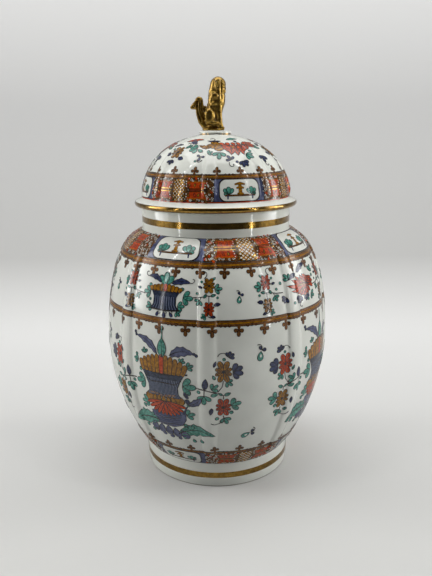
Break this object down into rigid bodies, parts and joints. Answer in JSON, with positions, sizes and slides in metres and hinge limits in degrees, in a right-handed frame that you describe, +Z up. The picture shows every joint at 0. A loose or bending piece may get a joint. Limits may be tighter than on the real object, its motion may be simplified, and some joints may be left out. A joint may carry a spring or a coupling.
{
  "type": "lidded vase",
  "caption": "Ovoid porcelain vase with eight raised ribs, foot ring and plain neck, and a ribbed domed lid with a gilt seated lion-dog knob that lifts off.",
  "frame": {"origin": "centre of the foot's resting face", "axes": "+Z up along the axis of the vase, -Y towards the painted front, +X the way the lion-dog faces"},
  "size_m": [0.1668, 0.1668, 0.2902],
  "materials": {
    "white_glaze": "glossy clear glaze on white hard-paste porcelain",
    "painted_glaze": "glossy glaze painted over with iron red, green, blue, ochre and gold enamels",
    "gilding": "burnished gold over glazed porcelain"
  },
  "bodies": {
    "vase": {"foot_ring": "white_glaze", "body_shell": "painted_glaze", "neck_ring": "white_glaze"},
    "lid": {"lid_collar": "white_glaze", "lid_rim": "white_glaze", "lid_dome": "painted_glaze", "finial_pad": "white_glaze", "finial_figure": "gilding"}
  },
  "joints": [
    {"name": "lid_lift", "type": "slide", "parent": "vase", "child": "lid", "axis": [0, 0, 1], "range_m": [0, 0.16]}
  ]
}
